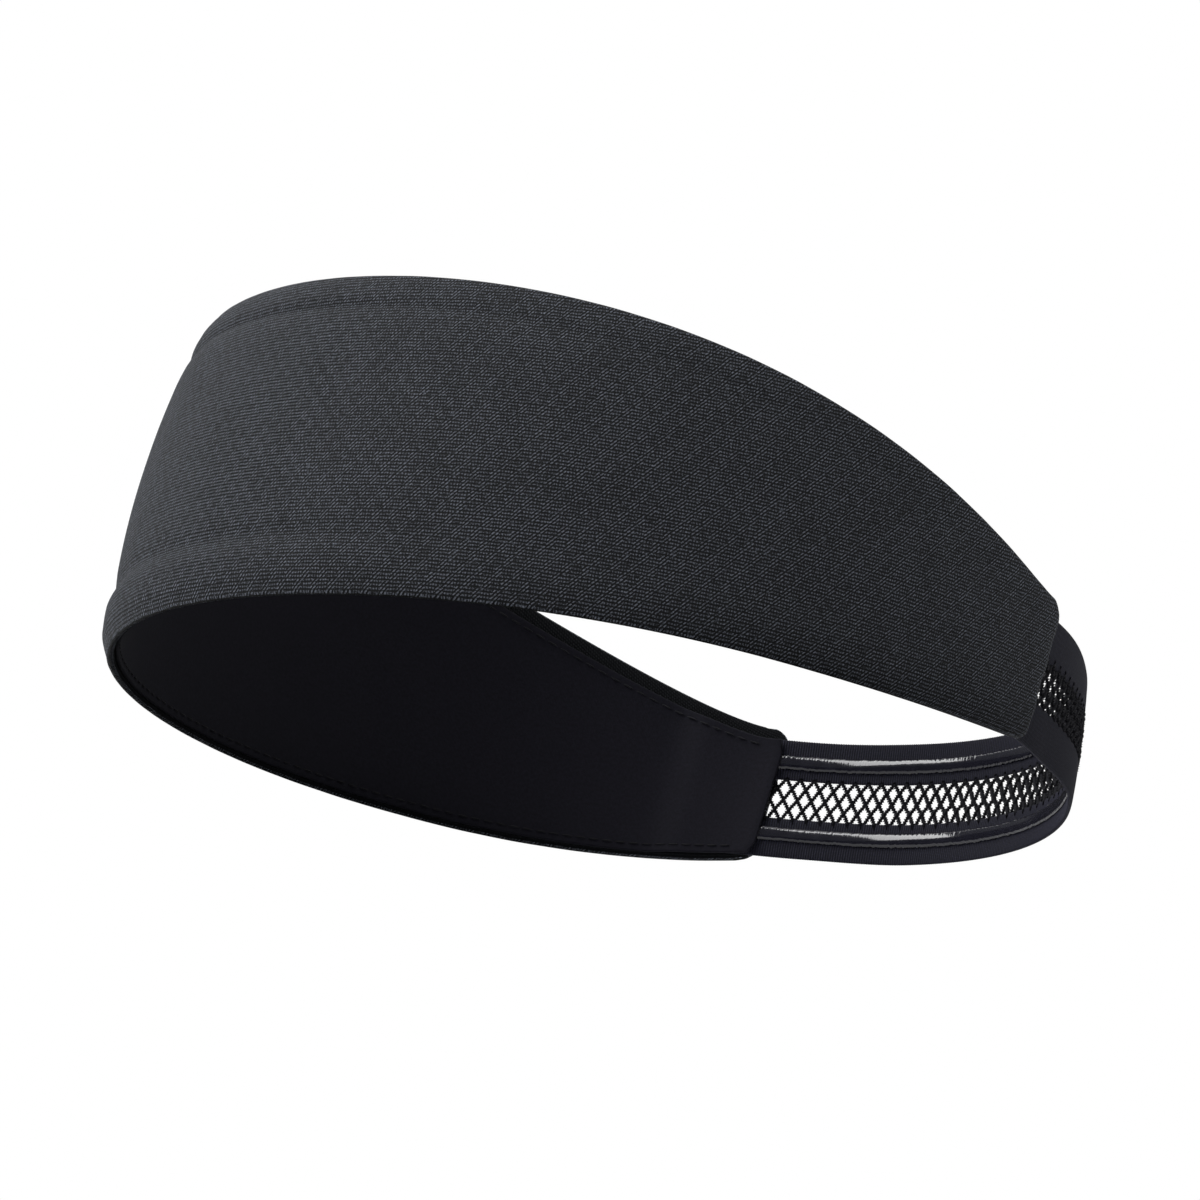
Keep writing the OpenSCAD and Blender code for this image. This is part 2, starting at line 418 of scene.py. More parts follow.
def give_thickness(piece, thickness, edge_round):
    """Makes a sheet as thick as its cloth, with soft cut edges."""
    solid = piece.modifiers.new("Cloth thickness", "SOLIDIFY")
    solid.thickness = thickness
    solid.offset = 0
    bevel = piece.modifiers.new("Soft edge", "BEVEL")
    bevel.width = edge_round
    bevel.segments = 2
    bevel.limit_method = "ANGLE"
    bevel.angle_limit = math.radians(60)


class Tree:
    """Adds nodes to a node tree and joins them."""

    def __init__(self, tree):
        self.tree = tree
        tree.nodes.clear()

    def add(self, kind, inputs=None, **settings):
        """A new node, with its settings and its inputs by name or number."""
        node = self.tree.nodes.new(kind)
        for name, value in settings.items():
            setattr(node, name, value)
        for key, value in (inputs or {}).items():
            self.join(value, node.inputs[key])
        return node

    def join(self, value, socket):
        """Links an output, or sets a plain value."""
        if isinstance(value, bpy.types.NodeSocket):
            self.tree.links.new(value, socket)
        else:
            socket.default_value = value

    def math(self, operation, *values):
        """The result of a Math node."""
        return self.add("ShaderNodeMath", dict(enumerate(values)), operation=operation).outputs[0]

    def vector(self, operation, inputs):
        """The result of a Vector Math node."""
        return self.add("ShaderNodeVectorMath", inputs, operation=operation).outputs[0]

    def noise(self, vector, scale, detail):
        """The outputs of a Noise Texture node: its value and its colour."""
        return self.add("ShaderNodeTexNoise", {"Vector": vector, "Scale": scale, "Detail": detail}).outputs

    def uneven(self, value, mask, gain, base):
        """A value times a mask that runs from base to base plus gain."""
        return self.math("MULTIPLY", value, self.math("MULTIPLY_ADD", mask, gain, base))

    def mix(self, factor, a, b):
        """A mix of two values."""
        return self.add("ShaderNodeMix", {0: factor, 2: a, 3: b}, data_type="FLOAT").outputs[0]

    def tint(self, factor, a, b):
        """A mix of two colours."""
        return self.add("ShaderNodeMix", {0: factor, 6: rgba(a), 7: rgba(b)}, data_type="RGBA").outputs[2]

    def span(self, value, low, high):
        """A smooth rise from 0 to 1 while a value goes from low to high."""
        inputs = {0: value, 1: low, 2: high, 3: 0.0, 4: 1.0}
        return self.add("ShaderNodeMapRange", inputs, interpolation_type="SMOOTHSTEP").outputs[0]

    def cloth(self):
        """The place on the flat cloth, in metres."""
        return self.add("ShaderNodeUVMap", uv_map=CLOTH_MAP).outputs[0]

    def group(self, tree, **inputs):
        """A shared node group, with its inputs by name."""
        return self.add("ShaderNodeGroup", inputs, node_tree=tree).outputs


def rgba(colour):
    """A colour with an alpha, or a socket as it is."""
    return colour if isinstance(colour, bpy.types.NodeSocket) else (*colour, 1)


def brighter(colour, times):
    """A colour made a number of times as bright."""
    return tuple(times * part for part in colour)


def group_tree(name, inputs, outputs):
    """A new node group with float and vector sockets."""
    tree = bpy.data.node_groups.new(name, "ShaderNodeTree")
    for kind, names in (("INPUT", inputs), ("OUTPUT", outputs)):
        for socket, socket_type in names:
            tree.interface.new_socket(socket, in_out=kind, socket_type=socket_type)
    nodes = Tree(tree)
    return tree, nodes, nodes.add("NodeGroupInput").outputs, nodes.add("NodeGroupOutput").inputs


def yarn_lines_group():
    """Parallel rounded yarns: 0 in the hollows and 1 on the crowns."""
    number_socket, vector_socket = "NodeSocketFloat", "NodeSocketVector"
    tree, nodes, given, result = group_tree(
        "Yarn Lines",
        [("Cloth", vector_socket), ("Pitch", number_socket), ("Turn", number_socket)],
        [("Height", number_socket)],
    )
    parts = nodes.add("ShaderNodeSeparateXYZ", {0: given["Cloth"]}).outputs
    across = nodes.math("MULTIPLY", parts[1], nodes.math("COSINE", given["Turn"]))
    along = nodes.math("MULTIPLY", parts[0], nodes.math("SINE", given["Turn"]))
    place = nodes.math("DIVIDE", nodes.math("SUBTRACT", across, along), given["Pitch"])
    wave = nodes.math("SINE", nodes.math("MULTIPLY", place, TAU))
    nodes.join(nodes.math("MULTIPLY_ADD", wave, 0.5, 0.5), result["Height"])
    return tree


def lint_group():
    """Fine uneven fibres, from 0 to 1."""
    tree, nodes, given, result = group_tree(
        "Fibre Lint",
        [("Cloth", "NodeSocketVector"), ("Scale", "NodeSocketFloat")],
        [("Mask", "NodeSocketFloat")],
    )
    inputs = {"Vector": given["Cloth"], "Scale": given["Scale"], "Detail": 3.0, "Roughness": 0.65}
    fibres = nodes.add("ShaderNodeTexNoise", inputs, noise_dimensions="3D").outputs[0]
    nodes.join(nodes.span(fibres, 0.3, 0.7), result["Mask"])
    return tree


def shared_group(name, build):
    """A node group that is built once and then shared."""
    return bpy.data.node_groups.get(name) or build()


def yarn_lines(nodes, cloth, pitch, degrees):
    """The height of parallel yarns on a cloth."""
    tree = shared_group("Yarn Lines", yarn_lines_group)
    return nodes.group(tree, Cloth=cloth, Pitch=pitch, Turn=math.radians(degrees))[0]


def lint(nodes, cloth, scale):
    """The uneven fibres of a cloth."""
    return nodes.group(shared_group("Fibre Lint", lint_group), Cloth=cloth, Scale=scale)[0]


def new_material(name, build, finish):
    """A material whose build(nodes) gives its linked inputs. The finish goes straight on the shader."""
    material = bpy.data.materials.get(name)
    if material:
        return material
    material = bpy.data.materials.new(name)
    material.use_nodes = True
    nodes = Tree(material.node_tree)
    inputs, height, relief = build(nodes)
    bump = nodes.add("ShaderNodeBump", {"Height": height, "Strength": 1.0, "Distance": relief})
    shader = nodes.add("ShaderNodeBsdfPrincipled", {**finish, **inputs, "Normal": bump.outputs[0]})
    nodes.add("ShaderNodeOutputMaterial", {"Surface": shader.outputs[0]})
    return material


def outer_knit():
    """Charcoal jersey: courses with a staggered lattice of small slanted floats, coloured by their relief,
    with painted shade in the hollows and a painted highlight on the raised yarns.
    """
    colours = bpy.context.scene.headband_finishes
    course_pitch, wale_pitch, wale_share = 0.66 * MM, 0.55 * MM, 0.45
    float_pitch, float_lean = 0.56 * MM, 48
    cell_pitch, cell_lean, falling_share = 2.71 * MM, 53, 0.8
    drift_scale, drift_reach = 260.0, 0.3 * MM
    fibre_scale, patch_scale, speck_scale = 3400.0, 110.0, 1100.0
    ground_share, speck_share, relief = 0.72, 0.25, 0.3 * MM

    def build(nodes):
        cloth = nodes.cloth()
        drift = nodes.noise(cloth, drift_scale, 2.0)[1]
        centred = nodes.vector("SUBTRACT", {0: drift, 1: (0.5, 0.5, 0.5)})
        small = nodes.vector("SCALE", {0: centred, "Scale": drift_reach})
        uneven = nodes.vector("ADD", {0: cloth, 1: small})
        courses = nodes.span(yarn_lines(nodes, uneven, course_pitch, 0), 0.1, 0.75)
        wales = yarn_lines(nodes, uneven, wale_pitch, 90)
        floats = nodes.span(yarn_lines(nodes, uneven, float_pitch, float_lean), 0.25, 0.85)
        rising = yarn_lines(nodes, uneven, cell_pitch, cell_lean)
        falling = yarn_lines(nodes, uneven, cell_pitch, -cell_lean)
        cells = nodes.math("MULTIPLY_ADD", rising, 1.0, nodes.math("MULTIPLY", falling, falling_share))
        lattice = nodes.span(cells, 0.75, 1.25)
        ground = nodes.math("MULTIPLY", courses, nodes.mix(wale_share, 1.0, wales))
        dashes = nodes.uneven(floats, courses, 0.57, 0.44)
        yarn = nodes.mix(lattice, nodes.math("MULTIPLY", ground, ground_share), dashes)
        broken = nodes.uneven(yarn, lint(nodes, cloth, fibre_scale), 0.9, 0.3)
        height = nodes.uneven(broken, lint(nodes, cloth, patch_scale), 0.14, 0.9)
        specks = nodes.span(lint(nodes, cloth, speck_scale), 0.9, 1.0)
        # Painted shade and highlight: the colour runs from the shaded ground in the hollows to the lit yarn
        # on the raised courses and floats, with random light specks on top
        painted_light_and_specks = nodes.math("MULTIPLY_ADD", specks, speck_share, nodes.span(height, 0.22, 0.8))
        colour = nodes.tint(painted_light_and_specks, colours.knit_shaded_ground, colours.knit_lit_yarn)
        return {"Base Color": colour}, height, relief

    finish = {"Roughness": 0.85, "Specular IOR Level": 0.2, "Sheen Weight": 0.04}
    return new_material("charcoal_jersey", build, finish)


def knit_reverse_in_shade():
    """The reverse of the outer knit, which shows where its edges are turned in. Its colour is much darker
    than the face as painted shade, and darker still in the hollows between its loops.
    """
    colours = bpy.context.scene.headband_finishes
    course_pitch, wale_pitch, fibre_scale = 0.66 * MM, 0.5 * MM, 1700.0
    # The reverse's crown colour is far darker than the face's yarn colour: painted shade
    shaded_crowns, relief = (0.02, 0.021, 0.024), 0.15 * MM

    def build(nodes):
        cloth = nodes.cloth()
        courses = yarn_lines(nodes, cloth, course_pitch, 0)
        loops = nodes.math("MULTIPLY", courses, yarn_lines(nodes, cloth, wale_pitch, 90))
        height = nodes.uneven(loops, lint(nodes, cloth, fibre_scale), 0.7, 0.4)
        return {"Base Color": nodes.tint(height, colours.knit_shaded_ground, shaded_crowns)}, height, relief

    return new_material("jersey_reverse_painted_shade", build, {"Roughness": 0.9, "Specular IOR Level": 0.1})


def lining_knit():
    """Smooth near-black tricot with very fine rows."""
    colours = bpy.context.scene.headband_finishes
    row_pitch, row_share, fibre_scale, fibre_share = 0.3 * MM, 0.4, 1500.0, 0.6
    brightening, relief = 1.9, 0.02 * MM

    def build(nodes):
        cloth = nodes.cloth()
        rows = nodes.math("MULTIPLY", yarn_lines(nodes, cloth, row_pitch, 90), row_share)
        fibres = nodes.math("MULTIPLY", lint(nodes, cloth, fibre_scale), fibre_share)
        height = nodes.math("ADD", rows, fibres)
        # The colour is lighter where the rows and fibres stand up: random fibre tone, and painted shade in
        # the hollows between the rows
        light = brighter(colours.lining, brightening)
        return {"Base Color": nodes.tint(height, colours.lining, light)}, height, relief

    finish = {"Roughness": 0.8, "Specular IOR Level": 0.1, "Sheen Weight": 0.02}
    return new_material("smooth_tricot", build, finish)


def elastic_rib():
    """Navy-black elastic with fine ribs across it, coloured darker in the grooves between ribs and picks as
    painted shade and lighter on their crowns as painted highlight.
    """
    colours = bpy.context.scene.headband_finishes
    rib_pitch = bpy.context.scene.headband_band.rib_pitch
    pick_pitch, pick_share, fibre_scale = 0.34 * MM, 0.45, 1900.0
    brightening, relief = 6, 0.08 * MM

    def build(nodes):
        cloth = nodes.cloth()
        ribs = yarn_lines(nodes, cloth, rib_pitch, 90)
        picks = yarn_lines(nodes, cloth, pick_pitch, 0)
        yarn = nodes.math("MULTIPLY", ribs, nodes.mix(pick_share, 1.0, picks))
        height = nodes.uneven(yarn, lint(nodes, cloth, fibre_scale), 0.8, 0.35)
        # Painted shade and highlight: up to six times as light on the crowns of the ribs and picks as in
        # their grooves, broken by random fibres
        light = brighter(colours.elastic, brightening)
        return {"Base Color": nodes.tint(height, colours.elastic, light)}, height, relief

    finish = {"Roughness": 0.8, "Specular IOR Level": 0.15, "Sheen Weight": 0.03}
    return new_material("ribbed_elastic", build, finish)


def cord_yarn(name, colour, pitch):
    """Twisted yarn, for the net's cords and the sewing thread."""
    twist_lean, fibre_scale, brightening, relief = 50, 3000.0, 2.4, 0.05 * MM

    def build(nodes):
        cloth = nodes.cloth()
        twist = yarn_lines(nodes, cloth, pitch, twist_lean)
        height = nodes.uneven(twist, lint(nodes, cloth, fibre_scale), 0.5, 0.5)
        # The colour is lighter on the twist's crowns: painted shade between the twisted strands, broken by
        # random fibre tone
        return {"Base Color": nodes.tint(height, colour, brighter(colour, brightening))}, height, relief

    finish = {"Roughness": 0.7, "Specular IOR Level": 0.15, "Sheen Weight": 0.02}
    return new_material(name, build, finish)


def clear_silicone():
    """Glossy silicone, as dark as the elastic that it lies on, whose ribs print through a little."""
    colours = bpy.context.scene.headband_finishes
    rib_pitch = bpy.context.scene.headband_band.rib_pitch
    rib_share, flow_scale, flow_share = 0.2, 420.0, 0.8
    brightening, relief = 2, 0.015 * MM

    def build(nodes):
        cloth = nodes.cloth()
        ribs = nodes.math("MULTIPLY", yarn_lines(nodes, cloth, rib_pitch, 90), rib_share)
        flow = nodes.noise(cloth, flow_scale, 2.0)[0]
        height = nodes.math("ADD", ribs, nodes.math("MULTIPLY", flow, flow_share))
        rough = nodes.math("MULTIPLY_ADD", flow, 0.1, 0.06)
        colour = nodes.tint(flow, colours.grip, brighter(colours.grip, brightening))
        return {"Base Color": colour, "Roughness": rough}, height, relief

    finish = {"IOR": 1.4, "Coat Weight": 0.5, "Coat Roughness": 0.03, "Coat IOR": 1.4}
    return new_material("glossy_silicone", build, finish)


class PieceOperator:
    """What the operators that make pieces share."""

    bl_options = {"REGISTER", "UNDO"}

    def execute(self, context):
        if context.scene.headband_panel.front_height <= 0:
            raise RuntimeError("the panel needs a height")
        self.build(context.scene, Wall(context.scene))
        return {"FINISHED"}


class HEADBAND_OT_outer_panel(PieceOperator, bpy.types.Operator):
    """Makes the outer knit as one sheet that is turned in at both long edges"""

    bl_idname = "headband.outer_panel"
    bl_label = "Outer panel"

    columns = 300
    inner_rows = 6
    fold_rows = 6
    face_rows = 78
    # Each hem's share of the face's rows, which reach to this many widths of the hem
    edge_share, border_reach = 0.24, 1.2
    # A hem's greatest share of the height, and the room that is left behind the turned cloth
    hem_limit, hem_gap = 0.36, 0.05 * MM
    # The soft roll of a hem, and the groove where it ends, as shares of the hem's width
    roll_rise, roll_hold, roll_fall = 0.35, 0.6, 0.42
    groove_place, groove_reach = 1.06, 0.15
    # The rolls fade out from the forehead, by shares of the half length
    lower_fade_start, lower_fade_reach, lower_kept = 0.1, 0.3, 0.3
    upper_fade_start, upper_fade_reach, upper_lost = 0.12, 0.4, 0.8
    ripple_waves, ripple_depth, ripple_seed = (160, 70), 0.12 * MM, 3.1
    curl_reach, curl_depth = 1.2 * MM, 0.55 * MM
    cut_round = 0.2 * MM

    def stations(self):
        """The sheet's rows from one raw edge round to the other, as zones and shares of them."""
        plan = [("lower hem", self.inner_rows), ("lower fold", self.fold_rows), ("face", self.face_rows)]
        plan += [("upper fold", self.fold_rows), ("upper hem", self.inner_rows)]
        return [(zone, k / count) for zone, count in plan for k in range(count)] + [("upper hem", 1)]

    def face_rise(self, share, height, lower_hem, upper_hem, bend):
        """The height of a row of the outer face. The rows are closer together at the hems."""
        low, high = bend, height - bend
        lower_border, upper_border = lower_hem * self.border_reach, height - upper_hem * self.border_reach
        if share < self.edge_share:
            return low + (lower_border - low) * share / self.edge_share
        if share > 1 - self.edge_share:
            return high - (high - upper_border) * (1 - share) / self.edge_share
        middle = (share - self.edge_share) / (1 - 2 * self.edge_share)
        return lower_border + (upper_border - lower_border) * middle

    def roll(self, edge, hem, proud, groove):
        """How far the cloth stands out at a distance from the edge: a soft roll that ends in a groove."""
        share = edge / hem
        swelling = smooth(share / self.roll_rise) * (1 - smooth((share - self.roll_hold) / self.roll_fall))
        line = math.exp(-(((share - self.groove_place) / self.groove_reach) ** 2))
        return proud * swelling - groove * line

    def turned_depth(self, wall, cloth):
        """The depth of the middle of the turned-in cloth."""
        return 2 * wall.outer_layer - cloth.outer_thick / 2 - self.hem_gap

    def section(self, u, along, wall, cloth):
        """The sheet's section at a share u of the half length: rise, depth and place along the cloth."""
        height = wall.height(u)
        widest_hem = self.hem_limit * height
        lower_hem, upper_hem = min(cloth.lower_hem, widest_hem), min(cloth.upper_hem, widest_hem)
        inside, outside = self.turned_depth(wall, cloth), cloth.outer_thick / 2
        bend = (inside - outside) / 2
        lower_fade = 1 - smooth((abs(u) - self.lower_fade_start) / self.lower_fade_reach)
        upper_fade = 1 - self.upper_lost * smooth((abs(u) - self.upper_fade_start) / self.upper_fade_reach)
        lower_roll = cloth.lower_roll * (self.lower_kept + (1 - self.lower_kept) * lower_fade)
        upper_roll = cloth.upper_roll * upper_fade

        def face_depth(rise):
            upper = self.roll(height - rise, upper_hem, upper_roll, cloth.groove * upper_fade)
            lower = self.roll(rise, lower_hem, lower_roll, cloth.groove * lower_fade)
            uneven = ripple(along, rise, self.ripple_waves, self.ripple_seed) * self.ripple_depth
            return outside - upper - lower + uneven

        rows = []
        for zone, share in self.stations():
            if zone == "lower hem":
                rows.append((lower_hem + (bend - lower_hem) * share, inside))
            elif zone == "upper hem":
                rows.append((height - bend - (upper_hem - bend) * share, inside))
            elif zone == "face":
                rise = self.face_rise(share, height, lower_hem, upper_hem, bend)
                rows.append((rise, face_depth(rise)))
            else:
                below = zone == "lower fold"
                swing = math.pi * share
                rise = bend * (1 - math.sin(swing))
                edge_depth = face_depth(bend if below else height - bend)
                middle, half = (inside + edge_depth) / 2, (inside - edge_depth) / 2
                turned = math.cos(swing) if below else -math.cos(swing)
                rows.append((rise if below else height - rise, middle + half * turned))
        first_face = self.inner_rows + self.fold_rows
        marks = [0]
        for a, b in zip(rows, rows[1:]):
            marks.append(marks[-1] + math.hypot(b[0] - a[0], b[1] - a[1]))
        start = marks[first_face] - rows[first_face][0]
        return [(rise, depth, mark - start) for (rise, depth), mark in zip(rows, marks)]

    def build(self, scene, wall):
        cloth = scene.headband_cloth
        shares, alongs = stations_along(wall, self.columns)
        sections = [self.section(u, along, wall, cloth) for u, along in zip(shares, alongs)]
        inside = self.turned_depth(wall, cloth)

        def place(i, j):
            u = shares[i]
            rise, depth, mark = sections[i][j]
            height = wall.height(u)
            curl = smooth(1 - wall.from_end(u) / self.curl_reach) * self.curl_depth
            trim = wall.end_trim(rise, height)
            spot = (alongs[i] * wall.angle(u, rise) / (u * wall.lower_wrap) if u else 0, mark)
            return wall.panel_point(u, rise, min(inside, depth + curl), trim), spot

        rows = len(sections[0]) - 1
        turned_in = self.inner_rows + 1

        # The turned-in rows take the reverse material, whose dark colour is painted shade
        def material_at(j):
            return int(j < turned_in or j >= rows - turned_in)

        bm = bmesh.new()
        lay_grid(bm, self.columns, rows, place, material_at=material_at)
        piece = finish_mesh(bm, "outer_panel_cloth", outer_knit())
        piece.data.materials.append(knit_reverse_in_shade())
        give_thickness(piece, cloth.outer_thick, self.cut_round)
        flat_length = 2 * max(alongs)
        girths = [section[-1][2] - section[0][2] for section in sections]
        area = flat_area(flat_length, girths)
        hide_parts("outer_panel")
        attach(piece, "panel")


class HEADBAND_OT_lining(PieceOperator, bpy.types.Operator):
    """Makes the smooth lining, cut square at its ends"""

    bl_idname = "headband.lining"
    bl_label = "Lining"

    columns = 260
    rows = 56
    end_reach = 6 * MM
    # The lining's end reaches out at its two corners and up at the top one, by shares of its height
    lower_corner, upper_corner, corner_reach = 0.1, 0.86, 0.9 * MM
    ear_start, ear_rise = 0.8, 0.5 * MM
    sink_depth, sink_power = 0.25 * MM, 0.5
    ripple_waves, ripple_depth, ripple_seed = (90, 60), 0.15 * MM, 7.7
    cut_round = 0.18 * MM

    def build(self, scene, wall):
        cloth = scene.headband_cloth
        shares, alongs = stations_along(wall, self.columns)

        def place(i, j):
            u, up = shares[i], j / self.rows
            span = wall.height(u) - cloth.upper_reveal - cloth.lower_reveal
            near_end = smooth(1 - wall.from_end(u) / self.end_reach)
            corner = smooth((up - self.upper_corner) / (1 - self.upper_corner))
            corner += smooth((self.lower_corner - up) / self.lower_corner)
            ear = near_end * self.ear_rise * smooth((up - self.ear_start) / (1 - self.ear_start))
            rise = cloth.lower_reveal + span * up + ear
            sink = self.sink_depth * math.sin(math.pi * up) ** self.sink_power
            uneven = ripple(alongs[i], rise, self.ripple_waves, self.ripple_seed) * self.ripple_depth
            depth = wall.lining_depth(u) + cloth.lining_thick / 2 + (uneven - sink) * (1 - near_end)
            point = wall.panel_point(u, rise, depth, trim=-self.corner_reach * near_end * corner)
            return point, (alongs[i], rise)

        bm = bmesh.new()
        lay_grid(bm, self.columns, self.rows, place)
        piece = finish_mesh(bm, "lining_cloth", lining_knit())
        give_thickness(piece, cloth.lining_thick, self.cut_round)
        spans = [wall.height(u) - cloth.upper_reveal - cloth.lower_reveal for u in shares]
        flat_length = 2 * max(alongs)
        area = flat_area(flat_length, spans)
        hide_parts("inner_lining")
        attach(piece, "panel")


def stretch_with_band(piece, wall):
    """Bakes the piece of the elastic into place where it was built."""
    sleeve_end = wall.point(wall.upper_wrap, 0, wall.band_depth).y
    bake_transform(piece)


def ring(steps, across, through, power=1.0):
    """A closed section of steps points, across wide and through deep, from the middle of its inner face."""
    points = []
    for k in range(steps):
        swing = TAU * k / steps
        wide, deep = math.sin(swing), math.cos(swing)
        points.append(
            (
                across / 2 * math.copysign(abs(wide) ** power, wide),
                through / 2 * math.copysign(abs(deep) ** power, deep),
            )
        )
    return points


class HEADBAND_OT_ribbed_lanes(PieceOperator, bpy.types.Operator):
    """Makes the elastic's two ribbed lanes"""

    bl_idname = "headband.ribbed_lanes"
    bl_label = "Ribbed lanes"

    columns_per_rib = 3
    crown_phase = 0.75
    edge_share = 0.45
    section_points = 22
    squareness = 0.42
    inner_share = 0.2

    def lane(self, scene, wall, node, low, high):
        """One ribbed lane between two heights above the band's lower edge."""
        band = scene.headband_band
        run = Run(wall, wall.tucked_angle())
        ribs = round(run.length / band.rib_pitch)
        columns = ribs * self.columns_per_rib
        outline = ring(self.section_points, high - low, band.rib_thick, self.squareness)
        outline.append(outline[0])
        marks = [0]
        for a, b in zip(outline, outline[1:]):
            marks.append(marks[-1] + math.dist(a, b))

        def place(i, j):
            along = run.length * i / columns
            across, through = outline[j]
            crown = math.cos(TAU * i / self.columns_per_rib) * band.rib_rise / 2
            inner = through > self.inner_share * band.rib_thick
            depth = wall.band_depth + band.rib_thick / 2 + through + (crown if inner else 0)
            if abs(across) > self.edge_share * (high - low):
                across += math.copysign(crown, across)
            spot = ((i / self.columns_per_rib + self.crown_phase) * band.rib_pitch, marks[j])
            return wall.band_point(run.angle(along), (low + high) / 2 + across, depth), spot

        bm = bmesh.new()
        lay_grid(bm, columns, self.section_points, place, closed=True)
        close_ends(bm)
        bmesh.ops.recalc_face_normals(bm, faces=bm.faces)
        piece = finish_mesh(bm, node + "_tape", elastic_rib())
        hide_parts(node)
        stretch_with_band(piece, wall)

    def build(self, scene, wall):
        band = scene.headband_band
        rib = (band.width - band.net_width) / 2
        self.lane(scene, wall, "band_lower_rib", 0, rib)
        self.lane(scene, wall, "band_upper_rib", rib + band.net_width, band.width)


class HEADBAND_OT_net(PieceOperator, bpy.types.Operator):
    """Makes the net lane of four long cords that zigzag between the ribbed lanes"""

    bl_idname = "headband.net"
    bl_label = "Net lane"

    cords = 4
    steps = 22
    section_points = 8
    twist_pitch = 1.7 * MM
    weave_depth = 0.15 * MM
    neck = 0.22 * MM
    turn_steps = 9
    flatness = 1.15
    yarn_pitch = 0.4 * MM

    def stroke(self, start, pitch, width, loop, step, rising):
        """One stroke across the lane: distance along, height in the lane and offset through it."""
        share = step / self.steps
        rise = -loop + (width + 2 * loop) * share
        inside = min(1, max(0, rise / width))
        over = math.cos(4 * math.pi * inside) * self.weave_depth
        from_edge = min(share, 1 - share) * self.turn_steps
        turned = math.sqrt(1 - max(0, 1 - from_edge) ** 2)
        edge = self.neck * turned
        reach = 2 * (pitch - edge)
        along = start + edge + reach * inside
        return (along, rise if rising else width - rise, over if rising else -over)

    def path(self, cord, run, band):
        """The points of one cord from end to end."""
        pitch = run.length / round(run.length / band.cell_pitch)
        count = round(run.length / (2 * pitch)) + 3
        points = []
        for k in range(-2, count):
            start = (2 * k + cord) * pitch - 2 * pitch
            for step in range(self.steps):
                points.append(self.stroke(start, pitch, band.net_width, band.loop_reach, step, k % 2 == 0))
        return [p for p in points if 0 <= p[0] <= run.length]

    def cord(self, bm, cord, run, wall, band):
        """Lays one twisted cord into the mesh."""
        points = self.path(cord, run, band)
        rib = (band.width - band.net_width) / 2
        middle = wall.band_depth + band.rib_thick / 2
        outline = ring(self.section_points, self.flatness * band.cord_width, band.cord_width)
        outline.append(outline[0])
        side_width = band.cord_width / 3
        marks, frames = [0], []
        for a, b in zip(points, points[1:]):
            marks.append(marks[-1] + math.dist(a, b))
        for k in range(len(points)):
            a, b = points[max(0, k - 1)], points[min(len(points) - 1, k + 1)]
            size = math.hypot(b[0] - a[0], b[1] - a[1]) or 1
            frames.append(((b[0] - a[0]) / size, (b[1] - a[1]) / size))

        def place(i, j):
            along, rise, over = points[i]
            forward, upward = frames[i]
            twist = TAU * marks[i] / self.twist_pitch
            wide, deep = outline[j]
            side = wide * math.cos(twist) - deep * math.sin(twist)
            through = wide * math.sin(twist) + deep * math.cos(twist)
            angle = run.angle(along - upward * side)
            point = wall.band_point(angle, rib + rise + forward * side, middle + over + through)
            return point, (marks[i], j * side_width)

        lay_grid(bm, len(points) - 1, self.section_points, place, closed=True)

    def build(self, scene, wall):
        band = scene.headband_band
        run = Run(wall, wall.tucked_angle())
        bm = bmesh.new()
        for cord in range(self.cords):
            self.cord(bm, cord, run, wall, band)
        close_ends(bm)
        bmesh.ops.recalc_face_normals(bm, faces=bm.faces)
        yarn = cord_yarn("net_cord", scene.headband_finishes.net, self.yarn_pitch)
        piece = finish_mesh(bm, "band_net_cords", yarn)
        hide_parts("band_net")
        stretch_with_band(piece, wall)


class HEADBAND_OT_grips(PieceOperator, bpy.types.Operator):
    """Makes the two raised silicone grips on the elastic's inner face"""

    bl_idname = "headband.grips"
    bl_label = "Silicone grips"

    columns = 1300
    section_points = 20
    squareness = 0.7
    under_lining = 5 * MM
    tip = 5 * MM
    tip_share = 0.004
    bedding = 0.25 * MM
    wobble_waves, wobble, wobble_seed = (300, 1000), 0.12 * MM, 1.7
    serration_waves, serration = (2600, 3), 0.35 * MM

    def strip(self, scene, wall, node, low):
        """One grip above the band's lower edge."""
        band = scene.headband_band
        first = wall.lower_wrap - self.under_lining / wall.arc_per_turn
        run = Run(wall, first)
        outline = ring(self.section_points, 1, 1, self.squareness)
        outline.append(outline[0])

        def place(i, j):
            along = run.length * i / self.columns
            end = min(along, run.length - along)
            full = math.sqrt(min(1, max(self.tip_share, end / self.tip)))
            across, through = outline[j]
            wobble = ripple(along, low, self.wobble_waves, self.wobble_seed) * self.wobble
            serration = ripple(along, across, self.serration_waves, low / MM) * self.serration
            rise = low + band.grip_width / 2 + across * (band.grip_width * full + wobble + serration)
            crown = max(0, through) * 2 * band.grip_thick * full
            depth = wall.band_inside - (self.bedding if through < 0 else 0) + crown
            return wall.band_point(run.angle(along), rise, depth), (along, across * band.grip_width)

        bm = bmesh.new()
        lay_grid(bm, self.columns, self.section_points, place, closed=True)
        close_ends(bm)
        bmesh.ops.recalc_face_normals(bm, faces=bm.faces)
        piece = finish_mesh(bm, node + "_silicone", clear_silicone())
        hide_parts(node)
        stretch_with_band(piece, wall)

    def build(self, scene, wall):
        band = scene.headband_band
        self.strip(scene, wall, "lower_grip_strip", band.grip_margin)
        self.strip(scene, wall, "upper_grip_strip", band.width - band.grip_margin - band.grip_width)


